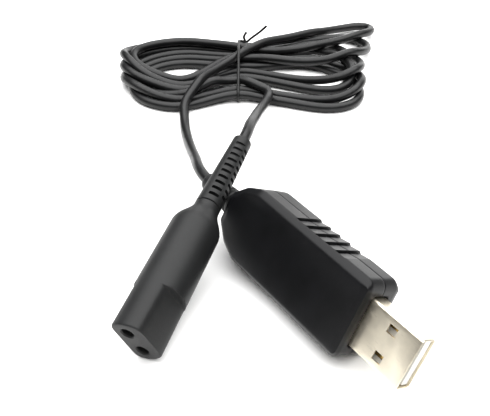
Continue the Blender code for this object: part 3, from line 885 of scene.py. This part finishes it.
def softened(
    profile: Sequence[tuple[float, float]], radius: float, steps: int = 4,
) -> list[tuple[float, float]]:
    """Round the inner corners of an open profile by a distance along each side."""
    points = [profile[0]]
    for before, corner, after in zip(profile, profile[1:], profile[2:]):
        a, b, c = Vector(before), Vector(corner), Vector(after)
        back = b + (a - b).normalized() * min(radius, (a - b).length * 0.49)
        ahead = b + (c - b).normalized() * min(radius, (c - b).length * 0.49)
        for step in range(steps + 1):
            t = step / steps
            points.append(tuple(back * (1 - t) ** 2 + b * 2 * t * (1 - t) + ahead * t ** 2))
    points.append(profile[-1])
    return points


@dataclass
class Housing:
    """The converter's slab housing: two shells, saw-tooth finger ribs and a mouth for the plug."""

    bench: Workbench
    width: float = 19.4
    thickness: float = 11.0
    length: float = 46.5
    taper_start: float = 38.3
    knee: tuple[float, float] = (43.0, 7.7)
    rear_half_width: float = 4.4
    bevel: tuple[float, float] = (1.5, 1.3)
    wall: float = 1.7
    roof: float = 1.3
    seam: float = 0.15
    seam_round: float = 0.16
    edge_round: float = 0.42
    rib_count: int = 5
    rib_pitch: float = 3.3
    first_rib: float = 12.1
    rib_slot: float = 0.6
    rib_depth: float = 0.8
    rib_ramp: float = 0.42
    rib_samples: int = 200

    def rib(self, x: float) -> float:
        """Return how deep the finger ribs cut at a place along the side."""
        depth = 0.0
        for number in range(self.rib_count):
            ahead = x + self.first_rib + number * self.rib_pitch + self.rib_slot / 2
            if 0 <= ahead <= self.rib_slot:
                depth = self.rib_depth
            elif self.rib_slot < ahead < self.rib_pitch:
                depth = self.rib_ramp * (self.rib_pitch - ahead) / (self.rib_pitch - self.rib_slot)
        return depth

    def corners(self, inset: float) -> list[Vector]:
        """Return the plan's corners, moved in from the sides, and less so at the two ends."""
        half = self.width / 2
        right = [
            (0.0, -half), (0.0, half), (-self.taper_start, half), (-self.knee[0], self.knee[1]),
            (-self.length, self.rear_half_width), (-self.length, -self.rear_half_width),
            (-self.knee[0], -self.knee[1]), (-self.taper_start, -half),
        ]
        outer = inset <= self.bevel[0]
        front, rear = (0.2 * inset, 0.4 * inset) if outer else (inset, inset)
        moves = [front] + [inset] * 3 + [rear] + [inset] * 3
        lines = []
        for number, shift in enumerate(moves):
            start, end = Vector(right[number]), Vector(right[(number + 1) % len(right)])
            along = (end - start).normalized()
            lines.append((start + Vector((-along.y, along.x)) * shift, along))
        found = []
        for number in range(len(right)):
            (a, along_a), (b, along_b) = lines[number - 1], lines[number]
            found.append(a + along_a * ((b - a).cross(along_b) / along_a.cross(along_b)))
        return found

    def ring(self, height: float, inset: float, ribbed: float = 0.0, steps: int = 8) -> Ring:
        """Return the plan's outline.

        Args:
            height: its Z in the housing's frame.
            inset: how far its sides are moved in.
            ribbed: the share of the finger ribs' depth that is cut, from 0 to 1.
            steps: points on each corner.
        """
        corners = self.corners(inset)
        shrink = min(inset, 1.6)
        radii = (2.4 - shrink, 2.4 - shrink, 6.0, 3.5, 0.9, 0.9, 3.5, 6.0)
        points: list[Vector] = []
        for number, radius in enumerate(radii):
            corner = corners[number]
            back = (corners[number - 1] - corner).normalized()
            ahead = (corners[(number + 1) % len(corners)] - corner).normalized()
            half = back.angle(ahead) / 2
            centre = corner + (back + ahead).normalized() * (radius / math.sin(half))
            start = corner + back * (radius / math.tan(half)) - centre
            sweep = start.angle_signed(corner + ahead * (radius / math.tan(half)) - centre)
            if number == 2:
                side = points[-1].y
                reach = (self.rib_pitch - self.first_rib, -self.first_rib - self.rib_count * self.rib_pitch)
                for sample in range(self.rib_samples + 1):
                    x = reach[0] + (reach[1] - reach[0]) * sample / self.rib_samples
                    points.append(Vector((x, side - ribbed * self.rib(x))))
            for step in range(steps + 1):
                points.append(centre + Matrix.Rotation(-sweep * step / steps, 2) @ start)
        return [(point.x, point.y, height) for point in points]

    def rings(self, profile: Sequence[tuple[float, float]], flip: int) -> list[Ring]:
        """Return the rings of one shell's outside from (height, inset) pairs."""
        start = self.thickness / 2 - self.bevel[1]
        found = []
        for height, inset in profile:
            signed = flip * height
            ribbed = min(max((start - signed) / 0.25, 0.0), 1.0)
            found.append(self.ring(signed, inset, ribbed if inset < self.bevel[0] * 0.75 else 0.0))
        return found

    def shell(self, name: str, node: str, flip: int) -> bpy.types.Object:
        """Build one shell of the housing and cut its mouth and rear hole."""
        top, seam = self.thickness / 2, self.seam / 2
        outside = softened([
            (top, self.bevel[0] + 1.2), (top, self.bevel[0]), (top - self.bevel[1], 0.0),
            (seam + self.seam_round, 0.0), (seam, self.seam_round),
        ], self.edge_round)
        straight = [(h, 0.0) for h in (top - self.bevel[1] - 0.5, top - self.bevel[1] - 0.75)]
        outside = sorted([*outside, *straight], key=lambda pair: (-pair[0], -pair[1]))
        inside = [(seam, self.wall), (top - self.roof, self.wall)]
        rings = self.rings(outside, flip) + [self.ring(flip * h, inset) for h, inset in inside]
        piece = self.bench.solid(name, loft(rings), 40.0)
        for tool in (self.mouth(), self.rear_hole()):
            subtract(piece, self.bench.solid("tool", tool))
        shade(piece, 36.0)
        self.bench.dress(piece, "housing_black", node)
        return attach(piece, Body.PLUG.value)

    def mouth(self) -> bmesh.types.BMesh:
        """Return the cutter for the plug's mouth, flared at the front face."""
        rings = []
        for x, grow in ((-4.0, 0.25), (-0.45, 0.25), (0.02, 0.6), (1.0, 1.4)):
            outline = rounded_rectangle(6.0 + grow, 2.25 + grow, 0.6 + grow)
            rings.append([(x, y, z) for y, z in outline])
        return loft(rings)

    def rear_hole(self) -> bmesh.types.BMesh:
        """Return the cutter for the hole that the strain relief sits in."""
        rear = -self.length
        return lathe([(rear - 1, 3.7), (rear + 0.35, 3.1), (rear + 4, 3.1)], 64)

    def build(self) -> list[bpy.types.Object]:
        """Build both shells."""
        upper = self.shell("housing_upper_shell", "upper_shell", 1)
        lower = self.shell("housing_lower_shell", "lower_shell", -1)
        return [upper, lower]


@dataclass
class UsbPlug:
    """The plug's folded metal shell, with latch windows, a rolled rim and a folded seam."""

    bench: Workbench
    width: float = 12.0
    height: float = 4.5
    sheet: float = 0.3
    reach: float = 13.8
    tuck: float = 4.6
    corner: float = 0.6
    window: tuple[float, float] = (7.0, 3.3)
    window_size: tuple[float, float] = (2.3, 2.0)

    def ring(self, x: float, inset: float) -> Ring:
        """Return the shell's section at a place along it."""
        radius = max(self.corner - inset, 0.22)
        outline = rounded_rectangle(self.width / 2 - inset, self.height / 2 - inset, radius)
        return [(x, y, z) for y, z in outline]

    def windows(self) -> bmesh.types.BMesh:
        """Return the cutter for the four latch windows."""
        x, y = self.window
        half_x, half_y = (size / 2 for size in self.window_size)
        blocks = []
        for side in (-1, 1):
            low = (x - half_x, side * y - half_y, -self.height)
            high = (x + half_x, side * y + half_y, self.height)
            blocks.append(block(low, high))
        return joined(blocks)

    def build(self) -> bpy.types.Object:
        """Build the metal shell."""
        rim, sheet = self.reach, self.sheet
        rings = [self.ring(x, inset) for x, inset in (
            (-self.tuck, 0.0), (rim - 0.9, 0.0), (rim - 0.35, 0.02), (rim - 0.12, 0.07), (rim, 0.16),
            (rim - 0.03, sheet - 0.04), (rim - 0.25, sheet), (-self.tuck, sheet),
        )]
        piece = self.bench.solid("usb_metal_shell", loft(rings, closed=True))
        subtract(piece, self.bench.solid("tool", self.windows()))
        seam = block((-self.tuck - 1, -0.04, -self.height), (rim + 1, 0.04, 0.12 - self.height / 2))
        subtract(piece, self.bench.solid("tool", seam))
        shade(piece, 30.0)
        self.bench.dress(piece, "nickel_plate", "usb_shell")
        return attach(piece, Body.PLUG.value)


@dataclass
class StrainRelief:
    """The moulded sleeve where the cord leaves the housing, ringed so that it bends."""

    bench: Workbench
    rear: float = -46.5
    length: float = 14.0
    base: float = 3.4
    tip: float = 2.55
    stem: float = 2.9
    groove: float = 0.32
    grooves: int = 5
    pitch: float = 2.0
    bend_start: float = 9.5
    bend_end: float = 0.3

    def stations(self) -> list[tuple[float, float]]:
        """Return the sleeve's (x, radius) stations, from inside the housing to its tip."""
        start, end = self.rear - 0.45, self.rear - self.length
        points = [(self.rear + 3.4, 0.2), (self.rear + 3.4, self.stem), (start + 0.1, self.stem)]
        points += [(start, self.base - 0.12), (start - 0.15, self.base)]
        cut_start = start - 1.2
        steps = 120
        for step in range(steps + 1):
            x = cut_start + (end + 0.5 - cut_start) * step / steps
            part = (cut_start - x) / (cut_start - end)
            radius = self.base + (self.tip - self.base) * part
            phase = (cut_start - x) / self.pitch
            if phase < self.grooves:
                dip = max(0.0, math.cos(math.tau * (phase - 0.5))) ** 1.6
                radius -= self.groove * dip
            points.append((x, radius))
        points += [(end + 0.15, self.tip - 0.1), (end, self.tip - 0.4)]
        return points + [(end, 1.36), (end + 1.5, 1.3), (end + 1.5, 0.1)]

    def build(self, frame: Matrix) -> bpy.types.Object:
        """Build the sleeve."""
        piece = self.bench.solid("housing_relief_sleeve", lathe(self.stations(), 64), 50.0)
        self.bench.dress(piece, "connector_black", "housing_strain_relief", "relief_anchor")
        start = frame @ (Vector((self.rear - self.bend_start, 0.0, 0.0)) * MM)
        end = frame @ (Vector((self.rear - self.bend_end, 0.0, 0.0)) * MM)
        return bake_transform(piece)


@dataclass
class PlugAssembly:
    """The plug's end of the lead: housing, metal shell and strain relief round the converter board."""

    finishes: Finishes
    lean: float = 61.8
    shift: float = 23.35
    housing_half: tuple[float, float] = (9.7, 4.2)

    def frame(self) -> Matrix:
        """Return the plug's frame, whose X runs out of the mouth, in row metres."""
        lean = math.radians(self.lean)
        height = self.housing_half[0] * math.sin(lean) + self.housing_half[1] * math.cos(lean)
        return Matrix.Translation(Vector((self.shift, 0.0, height)) * MM) @ Matrix.Rotation(lean, 4, "X")

    def build(self) -> None:
        """Build and dress every piece on the plug's side."""
        bench = Workbench(self.frame(), self.finishes)
        Housing(bench).build()
        UsbPlug(bench).build()
        StrainRelief(bench).build(self.frame())


# ---------------------------------------------------------------- the connector


@dataclass
class Connector:
    """The round socket connector: a keyed barrel with two pin holes, and its slotted boot."""

    bench: Workbench
    tip_radius: float = 6.4
    back_radius: float = 6.05
    straight: float = 31.0
    shoulder_end: float = 38.0
    neck: float = 3.2
    neck_end: float = 38.8
    key_length: float = 11.8
    key_flat: float = 4.4
    back_flat: float = 3.2
    pin_spacing: float = 6.2
    pin_hole: float = 1.45
    hole_depth: float = 15.0
    boot_start: float = 38.95
    boot_end: float = 62.0
    boot_base: float = 3.2
    boot_tip: float = 2.5
    first_slot: float = 40.95
    slots: int = 10
    slot_pitch: float = 2.0
    slot_width: float = 0.92
    slot_floor: float = 1.85
    slot_half: float = 1.3
    slot_facings: tuple[float, float] = (46.0, -20.0)
    bend_start: float = 52.0
    segments: int = 192

    def radius(self, x: float) -> float:
        """Return the barrel's round radius at a distance behind its end face."""
        if x < self.straight:
            return self.tip_radius + (self.back_radius - self.tip_radius) * x / self.straight
        part = min((x - self.straight) / (self.shoulder_end - self.straight), 1.0)
        drop = part * part * (3 - 2 * part)
        return self.back_radius - drop * (self.back_radius - self.neck)

    def section(self, x: float, radius: float, keyed: float) -> Ring:
        """Return the barrel's outline at a distance behind its end face.

        Args:
            x: that distance.
            radius: the round part's radius.
            keyed: how much of the two flats is cut, from 0 to 1.
        """
        points = []
        for number in range(self.segments):
            turn = math.tau * (number + 0.5) / self.segments
            reach = radius
            for flat, facing in ((self.key_flat, math.sin(turn)), (self.back_flat, -math.sin(turn))):
                if facing > 0.02:
                    limit = flat + (radius - flat) * (1 - keyed)
                    cut = limit / facing
                    sharp = 14.0
                    reach = (reach ** -sharp + cut ** -sharp) ** (-1 / sharp) if keyed else reach
            points.append((-x, reach * math.cos(turn), reach * math.sin(turn)))
        return points

    def barrel(self) -> bpy.types.Object:
        """Build the barrel, with its flats and pin holes."""
        rings = []
        lip = 0.45
        for step in range(6):
            turn = step / 5 * math.pi / 2
            inset = lip * (1 - math.sin(turn))
            rings.append(self.section(lip * (1 - math.cos(turn)), self.radius(0) - inset, 1.0))
        for x in np.arange(1.0, self.key_length - 0.4, 1.2):
            rings.append(self.section(float(x), self.radius(float(x)), 1.0))
        for x, keyed in ((-0.28, 1.0), (-0.12, 0.97), (-0.02, 0.85), (0.05, 0.45), (0.12, 0.12), (0.24, 0.0)):
            rings.append(self.section(self.key_length + x, self.radius(self.key_length), keyed))
        for x in np.arange(self.key_length + 1.0, self.neck_end - 0.3, 0.6):
            rings.append(self.section(float(x), self.radius(float(x)), 0.0))
        rings.append(self.section(self.neck_end - 0.15, self.neck, 0.0))
        rings.append(self.section(self.neck_end, self.neck - 0.15, 0.0))
        piece = self.bench.solid("connector_barrel_moulding", loft(rings), 48.0)
        holes = []
        for side in (-1, 1):
            profile = [(1.0, self.pin_hole + 1.1), (-0.28, self.pin_hole), (-self.hole_depth, self.pin_hole)]
            shift = Matrix.Translation((0.0, side * self.pin_spacing / 2, 0.0))
            holes.append(moved(lathe(profile, 64), shift))
        subtract(piece, self.bench.solid("tool", joined(holes)))
        shade(piece, 38.0)
        self.bench.dress(piece, "connector_black", "connector_barrel")
        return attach(piece, Body.CONNECTOR.value)

    def boot(self) -> bpy.types.Object:
        """Build the boot, with its four rows of slots."""
        stations = [(-self.boot_start, 0.2), (-self.boot_start, self.boot_base - 0.15)]
        stations.append((-self.boot_start - 0.15, self.boot_base))
        length = self.boot_end - self.boot_start
        steps = 64
        for step in range(1, steps):
            part = step / steps
            stations.append((
                -self.boot_start - 0.15 - part * (length - 0.6),
                self.boot_base + (self.boot_tip - self.boot_base) * min(part * 1.06, 1.0),
            ))
        end = -self.boot_end
        stations += [(end + 0.25, self.boot_tip - 0.06), (end + 0.05, self.boot_tip - 0.3)]
        stations.append((end, self.boot_tip - 0.5))
        stations += [(end, 1.36), (end + 1.5, 1.3), (end + 1.5, 0.1)]
        piece = self.bench.solid("connector_boot_moulding", lathe(stations, 72), 48.0)
        tools = []
        for row, facing in enumerate(self.slot_facings):
            turn = Matrix.Rotation(math.radians(facing), 4, "X")
            for number in range(self.slots - row):
                middle = -self.first_slot - (number + row / 2) * self.slot_pitch
                for side in (-1, 1):
                    near, far = sorted((side * self.slot_floor, side * 5.0))
                    low = (middle - self.slot_width / 2, -self.slot_half, near)
                    high = (middle + self.slot_width / 2, self.slot_half, far)
                    tools.append(moved(softened_block(low, high, 0.2, 2), turn))
        subtract(piece, self.bench.solid("tool", joined(tools)))
        shade(piece, 40.0)
        self.bench.dress(piece, "connector_black", "connector_boot")
        start = self.bench.frame @ (Vector((-self.bend_start, 0.0, 0.0)) * MM)
        neck = self.bench.frame @ (Vector((-self.boot_start, 0.0, 0.0)) * MM)
        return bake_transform(piece)


@dataclass
class ConnectorAssembly:
    """The connector's end of the lead, in its own frame with X out of the end face."""

    finishes: Finishes
    tip: tuple[float, float, float] = (-2.9, -40.6, 6.3)
    heading: float = -56.5
    slope: float = 12.4
    roll: float = -67.7
    cord_ends: tuple[float, float] = (-59.5, -55.5)

    def frame(self) -> Matrix:
        """Return the connector's frame in row metres."""
        place = Matrix.Translation(Vector(self.tip) * MM)
        turn = Matrix.Rotation(math.radians(self.heading), 4, "Z")
        turn = turn @ Matrix.Rotation(math.radians(self.slope), 4, "Y")
        return place @ turn @ Matrix.Rotation(math.radians(self.roll), 4, "X")

    def cord_points(self) -> list[tuple[float, float, float]]:
        """Return the points that the cord follows inside the boot, in row millimetres."""
        return [tuple((self.frame() @ (Vector((x, 0.0, 0.0)) * MM)) / MM) for x in self.cord_ends]

    def build(self) -> list[bpy.types.Object]:
        """Build the barrel and the boot."""
        connector = Connector(Workbench(self.frame(), self.finishes))
        return [connector.barrel(), connector.boot()]


# ---------------------------------------------------------------- the set


@dataclass
class Studio:
    """A white tabletop, soft lamps and the camera."""

    finishes: Finishes
    eye: tuple[float, float, float] = (0.0962, -0.08177, 0.1238)
    tilt: float = 52.0
    heading: float = 55.11
    lens: float = 54.59
    floor_size: float = 6.0
    sky: float = 0.14
    aim: tuple[float, float, float] = (-0.04, 0.01, 0.01)

    def camera(self) -> None:
        """Place the camera."""
        data = bpy.data.cameras.new("camera")
        data.lens = self.lens
        data.sensor_width = 36.0
        data.clip_start = 0.005
        camera = bpy.data.objects.new("camera", data)
        camera.location = self.eye
        camera.rotation_euler = (math.radians(self.tilt), 0.0, math.radians(self.heading))
        bpy.context.scene.collection.objects.link(camera)
        bpy.context.scene.camera = camera

    def floor(self) -> None:
        """Lay the tabletop just under the object."""
        builder = bmesh.new()
        bmesh.ops.create_grid(builder, x_segments=4, y_segments=4, size=self.floor_size / 2)
        mesh = bpy.data.meshes.new("tabletop")
        builder.to_mesh(mesh)
        builder.free()
        mesh.materials.append(self.finishes["card_white"])
        floor = bpy.data.objects.new("tabletop", mesh)
        floor.location = (0.0, 0.0, -0.0001)
        bpy.context.scene.collection.objects.link(floor)

    def lamp(self, name: str, place: Point, size: Point, power: float) -> None:
        """Hang one soft box.

        Args:
            name: the lamp's name.
            place: where it hangs, in metres.
            size: its width and height, in metres.
            power: its power in watts.
        """
        data = bpy.data.lights.new(name, "AREA")
        data.shape = "RECTANGLE"
        data.size, data.size_y = size
        data.energy = power
        lamp = bpy.data.objects.new(name, data)
        lamp.location = place
        lamp.rotation_euler = (Vector(self.aim) - Vector(place)).to_track_quat("-Z", "Y").to_euler()
        bpy.context.scene.collection.objects.link(lamp)

    def build(self) -> None:
        """Light the set and place the camera."""
        world = bpy.data.worlds.new("studio")
        world.use_nodes = True
        background = world.node_tree.nodes["Background"]
        background.inputs["Color"].default_value = (1.0, 1.0, 1.0, 1.0)
        background.inputs["Strength"].default_value = self.sky
        bpy.context.scene.world = world
        bpy.context.scene.view_settings.view_transform = "Standard"
        self.lamp("overhead", (-0.06, 0.08, 0.90), (1.80, 1.80), 46.0)
        self.lamp("back_left", (-0.55, 0.75, 0.22), (0.80, 0.40), 2.2)
        self.camera()
        self.floor()


def dress_frame_nodes(nodes: dict[str, bpy.types.Object], record: dict[str, Any], finishes: Finishes) -> None:
    """Give each CAD node its slot's finish."""
    slots = {part["node"]: part["material_slot"] for part in record["subparts"]}
    for name, node in nodes.items():
        node.data.materials.clear()
        node.data.materials.append(finishes[slots[name]])


def main() -> None:
    """Build every piece of the lead in order."""
    logging.basicConfig(level=logging.INFO, format="%(message)s")
    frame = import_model()
    finishes = Finishes.make()
    dress_frame_nodes(frame["nodes"], frame["record"], finishes)
    Studio(finishes).build()
    PlugAssembly(finishes).build()
    connector = ConnectorAssembly(finishes)
    pieces = connector.build()
    cord = CordAssembly(Workbench(Matrix.Identity(4), finishes), Hank())
    start = (cord.housing_leg[0][0] + 1.2, 0.0, cord.housing_leg[0][2])
    line = cord.build_cord(start, connector.cord_points())
    TwistTie(cord.bench).build(line, cord.hank_frame(), cord.hank.diameter / 2)


if __name__ == "__main__":
    main()
